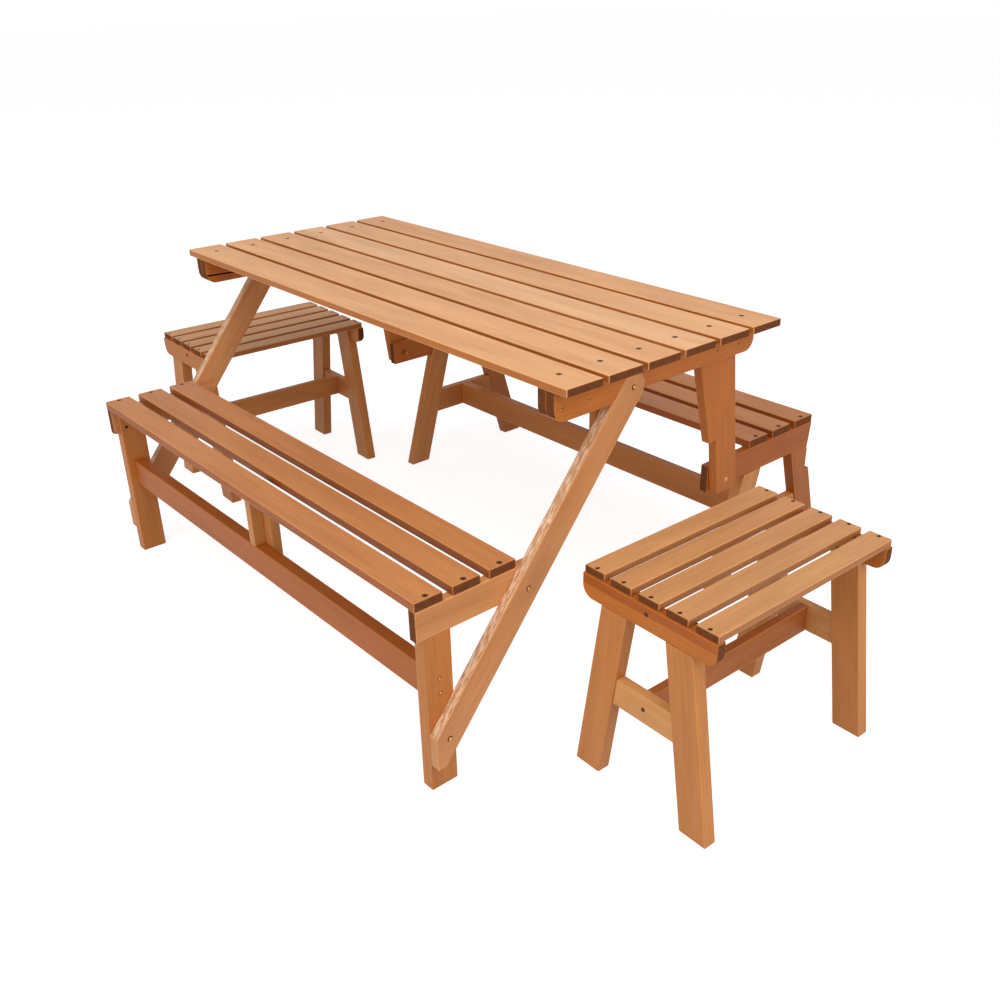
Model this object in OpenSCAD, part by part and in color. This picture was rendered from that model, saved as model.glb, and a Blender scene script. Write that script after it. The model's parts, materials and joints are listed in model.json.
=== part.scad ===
// Picnic table that folds into one deep bench, with its two benches and two loose stools.
// Lengths are in millimetres. +X runs along the table, +Y towards the rear bench, +Z up.
// The pieces are drawn from the table: x = 0 at its middle, y = 0 at its front edge.
// in_set() then moves the origin to the floor under the middle of the whole set.

/* [Table top] */
// Height of the table's top face above the front seat
table_up = 322; // [312:1:332]
// Overhang of the table slats past each end of the front bench
table_over = 55; // [30:1:120]
// Width of one table slat
table_slat_w = 88; // [84:0.5:92]
// Gap between the table slats
table_slat_gap = 14.4; // [10:0.1:18]
// Thickness of the table slats
table_slat_t = 16; // [14:0.5:20]
// Depth of the rails under the table slats
table_rail_h = 60; // [52:1:68]
// Thickness of the table rails and the stop blocks
table_rail_t = 22; // [18:0.5:26]
// Radius of the lower corners of the table rails
table_rail_round = 26; // [5:1:40]

/* [Hangers] */
// Width of a hanger's narrow lower part
hanger_w = 66; // [56:1:68]
// Thickness of a hanger
hanger_t = 22; // [18:0.5:26]
// Height of the rear pivot above a hanger's lower end
hanger_foot = 27; // [22:1:32]
// Height of a hanger's narrow part above the rear pivot
hanger_step_up = 112; // [105:1:130]
// Extra width of a hanger just above the step
hanger_step_w = 22; // [14:1:26]
// Growth in width per length above the step
hanger_taper = 0.12; // [0:0.01:0.14]

/* [Pivots] */
// Distance of the front pivot from the table's front edge
front_pivot_in = 203; // [195:1:215]
// Distance of the rear pivot from the table's rear edge
rear_pivot_in = 34; // [30:1:44]
// Gap between a brace's round end and the table slats
brace_top_gap = 10; // [6:1:14]
// Gap between a hanger and the front seat slats in the bench position
hanger_nest = 2; // [1.5:0.5:6]
// Diameter of the pivot bolts
pivot_d = 8; // [6:0.5:10]
// Side play between pieces that turn past each other
play = 0.5; // [0.3:0.1:1]

/* [Front bench] */
// Height of the front seat
seat_h = 418; // [410:1:430]
// Length of the front bench
front_l = 1290; // [1250:1:1320]
// Distance of the front seat's front edge ahead of the table
front_reach = 303; // [296:1:312]
// Height of the screw that holds a brace to its leg
brace_foot_z = 120; // [110:1:135]
// Width of a brace
brace_w = 60; // [50:1:64]
// Thickness of a brace
brace_t = 22; // [18:0.5:26]
// Height of the blunt toe of a brace
brace_toe_z = 60; // [45:1:75]
// Distance from the seat's front edge to the front legs
leg_set = 15; // [5:1:25]

/* [Benches] */
// Width of one front seat slat
seat_slat_w = 62; // [56:0.5:64]
// Gap between the front seat slats
seat_slat_gap = 22; // [18:0.5:30]
// Width of one rear seat slat
rear_slat_w = 67; // [60:0.5:70]
// Gap between the rear seat slats
rear_slat_gap = 20; // [16:0.5:26]
// Thickness of the seat slats
seat_slat_t = 19; // [16:0.5:20]
// Depth of the bench rails
bench_rail_h = 63; // [58:1:70]
// Thickness of the bench rails
bench_rail_t = 20; // [16:0.5:22]
// Width of a leg
leg_w = 60; // [50:1:68]
// Thickness of a leg
leg_t = 28; // [26:0.5:36]
// Height of the stretcher's underside on the front bench
front_stretcher_z = 194; // [175:1:215]
// Height of the stretchers' underside on the rear bench
rear_stretcher_z = 150; // [130:1:170]
// Depth of the bench stretchers
stretcher_h = 66; // [50:1:72]
// Thickness of the long bench stretchers
stretcher_t = 28; // [22:0.5:32]
// Thickness of the cross-stretchers, centre planks and centre boards
board_t = 22; // [18:0.5:24]
// Width of a centre board
centre_board_w = 50; // [44:1:70]
// Height of a centre board's lower end above the underside of its stretcher
centre_board_up = 8; // [0:1:30]
// Step down of the rear seat below the front seat
rear_seat_drop = 1; // [0.5:0.5:3]
// Set-back of the rear seat's middle from the middle of its legs
rear_set = 8; // [0:1:12]
// Half the spread of the rear bench's feet
rear_foot_half = 221; // [215:1:230]
// Lean of the rear bench's legs in degrees
rear_lean = 16.5; // [14:0.5:17]

/* [Stools] */
// Height of a stool's seat
stool_h = 437; // [420:1:455]
// Length of the stool slats
stool_slat_l = 484; // [440:1:520]
// Width of one stool slat
stool_slat_w = 48.5; // [44:0.5:52]
// Gap between the stool slats
stool_slat_gap = 16; // [10:0.5:18]
// Thickness of the stool slats
stool_slat_t = 15; // [13:0.5:20]
// Set-back of the stool slats from the outer faces of the rails
stool_slat_in = 3; // [0:0.5:8]
// Depth of the stool rails
stool_rail_h = 47; // [40:1:60]
// Radius of the lower corners of the stool rails
stool_rail_round = 25; // [5:1:35]
// Half the spread of a stool's feet
stool_foot_half = 165; // [155:0.5:175]
// Lean of the stool legs in degrees
stool_lean = 8.8; // [5:0.1:10]
// Width of a stool leg
stool_leg_w = 61; // [52:1:64]
// Height of the stool stretchers' underside
stool_stretcher_z = 177; // [140:1:210]
// Depth of the stool stretchers
stool_stretcher_h = 58; // [48:1:70]
// Place of the right stool's middle, from the middle of the table's front edge
right_stool_at = [927, 220];
// Turn of the right stool in degrees
right_stool_turn = -1.4; // [-10:0.1:10]
// Place of the left stool's middle, from the middle of the table's front edge
left_stool_at = [-872, 272];
// Turn of the left stool in degrees
left_stool_turn = -1.7; // [-10:0.1:10]

/* [Screws] */
// Diameter of a wood screw's shank
screw_d = 4.5; // [3.5:0.5:5]
// Diameter of a countersunk head
screw_head_d = 8.5; // [7.5:0.5:10]
// Depth of a countersunk head below the wood's face
screw_sink = 1; // [0.5:0.1:2]
// Diameter of a small domed head
dome_d = 9; // [8:0.5:11]
// Diameter of the shank of a brace screw
brace_screw_d = 6; // [5:0.5:7]
// Diameter of a brace screw's domed head
brace_dome_d = 12; // [10:0.5:15]

/* [Hidden] */
$fn = 64;
TABLE_SLATS = 6;
SEAT_SLATS = 3;
STOOL_SLATS = 5;

// Clearances and overlaps of cutting bodies
fit = 0.1;
running = 0.05;
lift = 0.3;
cut = 1;
far = 2000;
through = 200;

// Height and length of the table, from the front bench
table_h = seat_h + table_up;
table_l = front_l + 2 * table_over;

// Widths across the slats
function spread(n, w, gap) = n * w + (n - 1) * gap;
table_w = spread(TABLE_SLATS, table_slat_w, table_slat_gap);
seat_w = spread(SEAT_SLATS, seat_slat_w, seat_slat_gap);
rear_seat_w = spread(SEAT_SLATS, rear_slat_w, rear_slat_gap);
stool_w = spread(STOOL_SLATS, stool_slat_w, stool_slat_gap);

// Layers from the outside to the inside, as distances from the middle of the table
front_rail_out = front_l / 2;
front_rail_in = front_rail_out - bench_rail_t;
brace_out = front_rail_out + brace_t;
table_rail_out = front_rail_out - play;
table_rail_in = table_rail_out - table_rail_t;
hanger_in = table_rail_in - hanger_t;
rear_rail_out = hanger_in - play;
rear_rail_in = rear_rail_out - bench_rail_t;
stool_half = stool_slat_l / 2 + stool_slat_in;

// Heights
table_slat_z = table_h - table_slat_t;
table_rail_z = table_slat_z - table_rail_h;
front_slat_z = seat_h - seat_slat_t;
front_rail_z = front_slat_z - bench_rail_h;
rear_slat_z = front_slat_z - rear_seat_drop;
rear_rail_z = rear_slat_z - bench_rail_h;
stool_slat_z = stool_h - stool_slat_t;
stool_rail_z = stool_slat_z - stool_rail_h;

// Pivots, as [y, z]
front_pivot = [front_pivot_in, table_slat_z - brace_top_gap - brace_w / 2];
rear_pivot = [table_w - rear_pivot_in, front_slat_z - hanger_nest - hanger_w / 2];
pivot_span = rear_pivot[0] - front_pivot[0];
swing = 180 - 2 * atan((front_pivot[1] - rear_pivot[1]) / pivot_span);

// Seats: in the bench position the rear seat lies one slat gap behind the front seat
front_seat_y = -front_reach;
rear_seat_y = front_seat_y + seat_w + 2 * pivot_span + rear_slat_gap;
rear_mid_y = rear_seat_y + rear_seat_w / 2 - rear_set;

// The table's rear edge beside the rear bench in the bench position, as [y, z]
function folded(p) = rear_pivot + [p[0] * cos(swing) + p[1] * sin(swing), p[1] * cos(swing) - p[0] * sin(swing)];
tip_clear = 9;
notch_y = folded([rear_pivot_in, table_slat_z - rear_pivot[1]])[0] - tip_clear;
notch_z = folded([rear_pivot_in, table_h - rear_pivot[1]])[1] - tip_clear;

// Table rails and the screws through them, from the rail's front end, the rear pivot and the slats
table_rail_front = 2;
table_rail_tail = 10;
table_rail_back = table_w - table_rail_tail;
block_screws_y = [17, 84];
hanger_screws_y = [98, 30];
block_screws_down = 33;
hanger_screws_down = 36;

// Front frame
leg_y = front_seat_y + leg_set;
leg_mid_y = leg_y + leg_w / 2;
brace_lean = atan((front_pivot[0] - leg_mid_y) / (front_pivot[1] - brace_foot_z));
function brace_y(z) = front_pivot[0] - (front_pivot[1] - z) * tan(brace_lean);
front_rail_past = 20;
front_rail_back = brace_y(front_rail_z + bench_rail_h / 2) + front_rail_past;

// Rear rails
rear_rail_nose = 38;
rear_rail_tail = 2;
rear_rail_slope = 8;

// Length of a stool rail past the outermost slats
stool_rail_past = 2;

// Stub tenons of the cross-stretchers
tenon_l = 18;
tenon_t = 12;
tenon_shoulder = 12;
stretcher_in = 4;

// Screws
slat_screw_l = 45;
block_screw_l = 40;
lap_screw_l = 24;
dome_screw_l = 50;
brace_screw_l = 38;
dome_h = 2.5;
brace_dome_h = 3.5;
pivot_dome_d = 11;
pivot_dome_h = 1.9;
washer_t = 1.5;
nut_h = 6.5;
nut_across = 13;
bolt_end = 2;
lap_screw_in = 15;
leg_screw_in = 17;
rail_screw_up = 24;
stool_mid_screw_l = 18;
centre_screw_in = 30;
screw_sunk = screw_sink + (screw_head_d - screw_d) / 2;

// Middle of the whole set
function reach_x(turn) = stool_foot_half * cos(turn) + stool_half * abs(sin(turn));
set_x_min = left_stool_at[0] - reach_x(left_stool_turn);
set_x_max = right_stool_at[0] + reach_x(right_stool_turn);
set_mid = [(set_x_min + set_x_max) / 2, (front_seat_y + rear_mid_y + rear_foot_half) / 2];

wood_top = "#c98f5a";
wood_frame = "#b8753f";
wood_dark = "#a4632f";
steel = "#8d8173";

// Placing

module in_set() {
    translate([-set_mid[0], -set_mid[1], 0]) children();
}

// Drawn at the right-hand end; side -1 gives the left-hand end
module at_end(side) {
    mirror([side < 0 ? 1 : 0, 0, 0]) children();
}

module both_ends() {
    for (side = [1, -1]) at_end(side) children();
}

// Drawn on the +Y side of y = 0 and repeated on the other side
module both_legs() {
    for (half = [0, 1]) mirror([0, half, 0]) children();
}

// An outline in Y and Z made a board between two distances along X
module board(x0, x1) {
    translate([x0, 0, 0]) rotate([90, 0, 90]) linear_extrude(x1 - x0) children();
}

// A body drawn along Z turned to point outwards along X
module outwards(x, y, z) {
    translate([x, y, z]) rotate([0, 90, 0]) children();
}

// A body drawn along Z turned to point inwards along X
module inwards(x, y, z) {
    translate([x, y, z]) rotate([0, -90, 0]) children();
}

// A body drawn along Z turned to point to the rear
module rearwards(x, y, z) {
    translate([x, y, z]) rotate([-90, 0, 0]) children();
}

// The waste outside a rounded corner of radius r, with the corner at p and the board on side dir
module corner_waste(p, r, dir) {
    translate(p) difference() {
        translate([dir[0] > 0 ? -cut : -r, dir[1] > 0 ? -cut : -r]) square(r + cut);
        translate([dir[0] * r, dir[1] * r]) circle(r);
    }
}

// Fasteners, with the face of the wood at z = 0 and the shank going down

module countersunk(l, clear) {
    translate([0, 0, -screw_sunk]) {
        translate([0, 0, screw_sunk - l - clear]) cylinder(h = l - screw_sunk + clear, d = screw_d + 2 * clear);
        cylinder(h = screw_sunk - screw_sink, d1 = screw_d + 2 * clear, d2 = screw_head_d + 2 * clear);
    }
}

module screw(l) {
    slot_l = screw_head_d * 0.6;
    slot_w = screw_head_d * 0.14;
    slot_deep = screw_head_d * 0.2;
    difference() {
        countersunk(l, 0);
        for (turn = [0, 90]) {
            rotate([0, 0, turn]) translate([-slot_l / 2, -slot_w / 2, -screw_sink - slot_deep])
                cube([slot_l, slot_w, slot_deep + cut]);
        }
    }
}

module screw_hole(l) {
    countersunk(l, fit);
    translate([0, 0, -screw_sink]) cylinder(h = screw_sink + cut, d = screw_head_d + 2 * fit);
}

// A plain shank with a domed head standing on the face
module domed(shank_d, l, head_d, head_h) {
    ball = (head_d * head_d / 4 + head_h * head_h) / (2 * head_h);
    translate([0, 0, -l]) cylinder(h = l, d = shank_d);
    rotate_extrude() intersection() {
        translate([0, head_h - ball]) circle(ball);
        square([head_d / 2, head_h]);
    }
}

module shank_hole(d, l) {
    translate([0, 0, -l]) cylinder(h = l + cut, d = d);
}

// A nut and washer on the end of a bolt of length l
module nut(l) {
    translate([0, 0, -l]) difference() {
        union() {
            translate([0, 0, bolt_end]) cylinder(h = nut_h, d = nut_across / cos(30), $fn = 6);
            translate([0, 0, bolt_end + nut_h]) cylinder(h = washer_t, d = pivot_d * 2);
        }
        translate([0, 0, -cut]) cylinder(h = far, d = pivot_d - cut);
    }
}

// Shared pieces

// A slat along X with a countersunk hole at each end
module slat(y, z, w, t, half_l, hole_x) {
    difference() {
        translate([-half_l, y, z]) cube([2 * half_l, w, t]);
        both_ends() translate([hole_x, y + w / 2, z + t]) screw_hole(slat_screw_l);
    }
}

module slat_holes(n, y, z, w, gap, x) {
    for (i = [0 : n - 1]) translate([x, y + w / 2 + i * (w + gap), z]) screw_hole(slat_screw_l);
}

module slat_screws(n, y, z, w, gap, x) {
    for (i = [0 : n - 1]) translate([x, y + w / 2 + i * (w + gap), z]) screw(slat_screw_l);
}

// The outline of a leg on the +Y side, leaning in towards y = 0 as it rises
module splayed_outline(foot, lean, w, z_top) {
    across = w / cos(lean);
    in_top = z_top * tan(lean);
    polygon([[foot - across, 0], [foot, 0], [foot - in_top, z_top], [foot - across - in_top, z_top]]);
}

// Places of the two screws through a leg's tongue into the rail, as [y, z]
function lap_spots(mid_y, rail_z, rail_h) = [
    [mid_y - leg_w / 4, rail_z + lap_screw_in],
    [mid_y + leg_w / 4, rail_z + rail_h - lap_screw_in]
];

module lap_holes(x_out, rail_z, rail_h, mid_y) {
    for (p = lap_spots(mid_y, rail_z, rail_h)) inwards(x_out - leg_t, p[0], p[1]) screw_hole(lap_screw_l);
}

module lap_screws(x_out, rail_z, rail_h, mid_y) {
    for (p = lap_spots(mid_y, rail_z, rail_h)) inwards(x_out - leg_t, p[0], p[1]) screw(lap_screw_l);
}

// A leg under a rail: full thickness to the rail, then a tongue behind it
module lapped_leg(x_out, rail_t, rail_z, rail_h, mid_y) {
    difference() {
        union() {
            board(x_out - leg_t, x_out) intersection() {
                children();
                translate([-far, 0]) square([2 * far, rail_z]);
            }
            board(x_out - leg_t, x_out - rail_t) intersection() {
                children();
                translate([-far, 0]) square([2 * far, rail_z + rail_h]);
            }
        }
        lap_holes(x_out, rail_z, rail_h, mid_y);
    }
}

// Middle of a splayed leg at height z
function leg_mid(foot, lean, w, z) = foot - w / cos(lean) / 2 - z * tan(lean);

// Stub tenons through both ends of a cross-stretcher, grown by clear
module tenons(x_out, foot, lean, w, z, h, clear) {
    half = leg_mid(foot, lean, w, z + h / 2) - w / cos(lean) / 2 + tenon_l + clear;
    translate([x_out - leg_t / 2 - tenon_t / 2 - clear, -half, z + tenon_shoulder - clear])
        cube([tenon_t + 2 * clear, 2 * half, h - 2 * tenon_shoulder + 2 * clear]);
}

// A cross-stretcher between two splayed legs, with the hole for its middle screw
module cross_stretcher(x_out, foot, lean, w, z, h, t) {
    x1 = x_out - stretcher_in;
    low = foot - w / cos(lean) - z * tan(lean);
    high = low - h * tan(lean);
    difference() {
        union() {
            board(x1 - t, x1) polygon([[-low, z], [low, z], [high, z + h], [-high, z + h]]);
            tenons(x_out, foot, lean, w, z, h, 0);
        }
        outwards(x1, 0, z + h / 2) shank_hole(screw_d + 2 * fit, dome_screw_l + fit);
    }
}

// A stretcher along X between two cross-stretchers or legs
module long_stretcher(half_l, y, z, h, t) {
    translate([-half_l, y - t / 2, z]) cube([2 * half_l, t, h]);
}

// Drilled for a screw that ends at depth l below the face at x
module end_bores(x, y, z, l) {
    both_ends() outwards(x, y, z) shank_hole(screw_d + 2 * fit, l + fit);
}

// Table top

module top_slat(i) {
    y = (i - 1) * (table_slat_w + table_slat_gap);
    x = (table_rail_in + table_rail_out) / 2;
    color(wood_top) slat(y, table_slat_z, table_slat_w, table_slat_t, table_l / 2, x);
}

module top_rail_outline() {
    difference() {
        translate([table_rail_front, table_rail_z]) square([table_rail_back - table_rail_front, table_rail_h]);
        corner_waste([table_rail_front, table_rail_z], table_rail_round, [1, 1]);
        corner_waste([table_rail_back, table_rail_z], table_rail_round, [-1, 1]);
    }
}

// Screws through a stop block and through a table rail, as [y, z]
block_spots = [for (y = block_screws_y) [table_rail_front + y, table_slat_z - block_screws_down]];
hanger_spots = [for (y = hanger_screws_y) [rear_pivot[0] - y, table_slat_z - hanger_screws_down]];

module top_rail(side) {
    x = (table_rail_in + table_rail_out) / 2;
    color(wood_frame) at_end(side) difference() {
        board(table_rail_in, table_rail_out) top_rail_outline();
        slat_holes(TABLE_SLATS, 0, table_h, table_slat_w, table_slat_gap, x);
        outwards(brace_out, front_pivot[0], front_pivot[1]) shank_hole(pivot_d + 2 * running, through);
        for (p = block_spots) {
            outwards(table_rail_out + table_rail_t, p[0], p[1]) screw_hole(block_screw_l);
        }
        for (p = hanger_spots) outwards(table_rail_out, p[0], p[1]) screw_hole(block_screw_l);
    }
}

// The rear end of a stop block lies along the front edge of the brace
module stop_block(side) {
    color(wood_dark) at_end(side) difference() {
        board(table_rail_out, table_rail_out + table_rail_t) difference() {
            translate([table_rail_front, table_rail_z]) square([front_pivot[0], table_rail_h]);
            corner_waste([table_rail_front, table_rail_z], table_rail_round, [1, 1]);
            translate(front_pivot) rotate(-brace_lean) translate([-brace_w / 2 - lift, -far]) square([far, 2 * far]);
        }
        for (p = block_spots) {
            outwards(table_rail_out + table_rail_t, p[0], p[1]) screw_hole(block_screw_l);
        }
    }
}

module hanger_outline() {
    u_top = table_slat_z - rear_pivot[1] + hanger_w;
    step_v = hanger_w / 2 + hanger_step_w;
    foot_z = rear_pivot[1] - hanger_foot;
    intersection() {
        translate(rear_pivot) rotate(swing - 90) polygon([
            [-hanger_w / 2, -hanger_w],
            [hanger_w / 2, -hanger_w],
            [hanger_w / 2, u_top],
            [-step_v - (u_top - hanger_step_up) * hanger_taper, u_top],
            [-step_v, hanger_step_up],
            [-hanger_w / 2, hanger_step_up]
        ]);
        translate([-far, foot_z]) square([2 * far, table_slat_z - foot_z]);
    }
}

module hanger(side) {
    color(wood_dark) at_end(side) difference() {
        board(hanger_in, table_rail_in) hanger_outline();
        outwards(table_rail_in, rear_pivot[0], rear_pivot[1]) shank_hole(pivot_d + 2 * running, through);
        for (p = hanger_spots) outwards(table_rail_out, p[0], p[1]) screw_hole(block_screw_l);
    }
}

module top_slat_screws() {
    x = (table_rail_in + table_rail_out) / 2;
    color(steel) both_ends() slat_screws(TABLE_SLATS, 0, table_h, table_slat_w, table_slat_gap, x);
}

module hanger_screws() {
    color(steel) both_ends() {
        for (p = block_spots) outwards(table_rail_out + table_rail_t, p[0], p[1]) screw(block_screw_l);
        for (p = hanger_spots) outwards(table_rail_out, p[0], p[1]) screw(block_screw_l);
    }
}

// A bolt from the face at x_head to a nut that stands off the face at x_nut
module pivot_bolt(x_head, x_nut, at, head_h) {
    l = x_head - x_nut + lift + washer_t + nut_h + bolt_end;
    outwards(x_head, at[0], at[1]) {
        domed(pivot_d, l, pivot_dome_d, head_h);
        nut(l);
    }
}

module rear_pivot_bolts() {
    color(steel) both_ends() pivot_bolt(table_rail_in, rear_rail_in, rear_pivot, pivot_dome_h);
}

// Front bench

module front_seat_slat(i) {
    y = front_seat_y + (i - 1) * (seat_slat_w + seat_slat_gap);
    x = (front_rail_in + front_rail_out) / 2;
    color(wood_top) slat(y, front_slat_z, seat_slat_w, seat_slat_t, front_l / 2, x);
}

// Screws through a brace, as [y, z]
rail_screw_z = front_rail_z + rail_screw_up;
brace_spots = [[brace_y(rail_screw_z), rail_screw_z], [leg_mid_y, brace_foot_z]];

module brace_holes() {
    for (p = brace_spots) {
        outwards(brace_out, p[0], p[1]) shank_hole(brace_screw_d + 2 * fit, brace_screw_l + fit);
    }
}

module front_rail(side) {
    x = (front_rail_in + front_rail_out) / 2;
    slope = bench_rail_h * tan(brace_lean) / 2;
    color(wood_frame) at_end(side) difference() {
        board(front_rail_in, front_rail_out) polygon([
            [front_seat_y, front_rail_z],
            [front_rail_back - slope, front_rail_z],
            [front_rail_back + slope, front_slat_z],
            [front_seat_y, front_slat_z]
        ]);
        slat_holes(SEAT_SLATS, front_seat_y, seat_h, seat_slat_w, seat_slat_gap, x);
        brace_holes();
        lap_holes(front_rail_out, front_rail_z, bench_rail_h, leg_mid_y);
    }
}

module brace(side) {
    brace_l = front_pivot[1] / cos(brace_lean);
    color(wood_top) at_end(side) difference() {
        board(front_rail_out, brace_out) intersection() {
            translate(front_pivot) rotate(-brace_lean) union() {
                circle(brace_w / 2);
                translate([-brace_w / 2, -brace_l]) square([brace_w, brace_l]);
            }
            translate([leg_y, brace_toe_z]) square(far);
        }
        brace_holes();
        outwards(brace_out, front_pivot[0], front_pivot[1]) shank_hole(pivot_d + 2 * running, through);
    }
}

// Screws through a front leg into the end of the stretcher, as [y, z]
leg_spots = [
    [leg_mid_y, front_stretcher_z + leg_screw_in],
    [leg_mid_y, front_stretcher_z + stretcher_h - leg_screw_in]
];

module front_leg(side) {
    color(wood_frame) at_end(side) difference() {
        lapped_leg(front_rail_out, bench_rail_t, front_rail_z, bench_rail_h, leg_mid_y)
            translate([leg_y, 0]) square([leg_w, far]);
        brace_holes();
        for (p = leg_spots) {
            outwards(front_rail_out, p[0], p[1]) shank_hole(screw_d + 2 * fit, dome_screw_l + fit);
        }
    }
}

module front_stretcher() {
    color(wood_frame) difference() {
        long_stretcher(front_rail_out - leg_t, leg_mid_y, front_stretcher_z, stretcher_h, stretcher_t);
        for (p = leg_spots) end_bores(front_rail_out, p[0], p[1], dome_screw_l);
        centre_holes(leg_mid_y, front_stretcher_z, front_slat_z);
    }
}

// Screws from a centre board into its stretcher and its plank, as [x, z]
function centre_spots(stretcher_z, slat_z) = [
    [0, stretcher_z + stretcher_h / 2],
    [centre_board_w / 2, stretcher_z + stretcher_h / 2],
    [0, stretcher_z + stretcher_h + centre_screw_in],
    [0, slat_z - centre_screw_in]
];

module centre_holes(mid_y, stretcher_z, slat_z) {
    y = mid_y + stretcher_t / 2 + board_t;
    for (p = centre_spots(stretcher_z, slat_z)) rearwards(p[0], y, p[1]) screw_hole(block_screw_l);
}

module centre_screws(mid_y, stretcher_z, slat_z) {
    y = mid_y + stretcher_t / 2 + board_t;
    for (p = centre_spots(stretcher_z, slat_z)) rearwards(p[0], y, p[1]) screw(block_screw_l);
}

// A plank on edge in the middle, standing on the stretcher under the slats
module centre_plank(mid_y, stretcher_z, slat_z) {
    z1 = stretcher_z + stretcher_h;
    difference() {
        translate([-board_t / 2, mid_y - stretcher_t / 2, z1]) cube([board_t, stretcher_t, slat_z - z1]);
        centre_holes(mid_y, stretcher_z, slat_z);
    }
}

// A flat board behind the plank and the stretcher holds the two together
module centre_board(mid_y, stretcher_z, slat_z) {
    z0 = stretcher_z + centre_board_up;
    difference() {
        translate([-board_t / 2, mid_y + stretcher_t / 2, z0]) cube([centre_board_w, board_t, slat_z - z0]);
        centre_holes(mid_y, stretcher_z, slat_z);
    }
}

module front_centre_plank() {
    color(wood_frame) centre_plank(leg_mid_y, front_stretcher_z, front_slat_z);
}

module front_centre_board() {
    color(wood_frame) centre_board(leg_mid_y, front_stretcher_z, front_slat_z);
}

module front_screws() {
    x = (front_rail_in + front_rail_out) / 2;
    color(steel) {
        both_ends() {
            slat_screws(SEAT_SLATS, front_seat_y, seat_h, seat_slat_w, seat_slat_gap, x);
            lap_screws(front_rail_out, front_rail_z, bench_rail_h, leg_mid_y);
            for (p = leg_spots) {
                outwards(front_rail_out, p[0], p[1]) domed(screw_d, dome_screw_l, dome_d, dome_h);
            }
            for (p = brace_spots) {
                outwards(brace_out, p[0], p[1]) domed(brace_screw_d, brace_screw_l, brace_dome_d, brace_dome_h);
            }
        }
        centre_screws(leg_mid_y, front_stretcher_z, front_slat_z);
    }
}

module front_pivot_bolts() {
    color(steel) both_ends() pivot_bolt(brace_out, table_rail_in, front_pivot, brace_dome_h);
}

// Rear bench, drawn about its own middle line

module at_rear() {
    translate([0, rear_mid_y, 0]) children();
}

// Middle of a tongue of the rear legs, on the +Y side
rear_tongue_y = leg_mid(rear_foot_half, rear_lean, leg_w, rear_rail_z + bench_rail_h / 2);

module rear_seat_slat(i) {
    y = rear_seat_y + (i - 1) * (rear_slat_w + rear_slat_gap);
    x = (rear_rail_in + rear_rail_out) / 2;
    color(wood_top) slat(y, rear_slat_z, rear_slat_w, seat_slat_t, rear_rail_out, x);
}

module rear_rail(side) {
    x = (rear_rail_in + rear_rail_out) / 2;
    front = rear_pivot[0] - rear_rail_nose;
    back = rear_seat_y + rear_seat_w + rear_rail_tail;
    color(wood_frame) at_end(side) difference() {
        board(rear_rail_in, rear_rail_out) polygon([
            [front, rear_rail_z],
            [back - rear_rail_slope, rear_rail_z],
            [back, rear_slat_z],
            [front, rear_slat_z]
        ]);
        slat_holes(SEAT_SLATS, rear_seat_y, rear_slat_z + seat_slat_t, rear_slat_w, rear_slat_gap, x);
        outwards(table_rail_in, rear_pivot[0], rear_pivot[1]) shank_hole(pivot_d + 2 * running, through);
        at_rear() both_legs() lap_holes(rear_rail_out, rear_rail_z, bench_rail_h, rear_tongue_y);
    }
}

module rear_leg_blank() {
    difference() {
        lapped_leg(rear_rail_out, bench_rail_t, rear_rail_z, bench_rail_h, rear_tongue_y)
            splayed_outline(rear_foot_half, rear_lean, leg_w, rear_slat_z);
        tenons(rear_rail_out, rear_foot_half, rear_lean, leg_w, rear_stretcher_z, stretcher_h, fit);
    }
}

module rear_inner_leg(side) {
    color(wood_frame) at_end(side) at_rear() mirror([0, 1, 0]) rear_leg_blank();
}

// The upper rear corner is cut away where the table's rear edge comes down
module rear_outer_leg(side) {
    color(wood_frame) at_end(side) difference() {
        at_rear() rear_leg_blank();
        translate([0, notch_y, notch_z]) cube(far);
    }
}

module rear_cross_stretcher(side) {
    color(wood_frame) at_end(side) at_rear() cross_stretcher(
        rear_rail_out, rear_foot_half, rear_lean, leg_w, rear_stretcher_z, stretcher_h, board_t);
}

module rear_long_stretcher() {
    x = rear_rail_out - stretcher_in;
    color(wood_frame) difference() {
        long_stretcher(x - board_t, rear_mid_y, rear_stretcher_z, stretcher_h, stretcher_t);
        end_bores(x, rear_mid_y, rear_stretcher_z + stretcher_h / 2, dome_screw_l);
        centre_holes(rear_mid_y, rear_stretcher_z, rear_slat_z);
    }
}

module rear_centre_plank() {
    color(wood_frame) centre_plank(rear_mid_y, rear_stretcher_z, rear_slat_z);
}

module rear_centre_board() {
    color(wood_frame) centre_board(rear_mid_y, rear_stretcher_z, rear_slat_z);
}

module rear_screws() {
    x = (rear_rail_in + rear_rail_out) / 2;
    color(steel) {
        both_ends() {
            slat_screws(SEAT_SLATS, rear_seat_y, rear_slat_z + seat_slat_t, rear_slat_w, rear_slat_gap, x);
            at_rear() both_legs() lap_screws(rear_rail_out, rear_rail_z, bench_rail_h, rear_tongue_y);
            outwards(rear_rail_out - stretcher_in, rear_mid_y, rear_stretcher_z + stretcher_h / 2)
                domed(screw_d, dome_screw_l, dome_d, dome_h);
        }
        centre_screws(rear_mid_y, rear_stretcher_z, rear_slat_z);
    }
}

// Stools: drawn along X about the middle, then turned to stand across the table

module at_stool(place, turn) {
    translate([place[0], place[1], 0]) rotate([0, 0, 90 + turn]) children();
}

stool_tongue_y = leg_mid(stool_foot_half, stool_lean, stool_leg_w, stool_rail_z + stool_rail_h / 2);
stool_screw_x = stool_half - bench_rail_t / 2;
stool_mid_screw = [0, stool_slat_z - stool_rail_h / 3];

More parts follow.
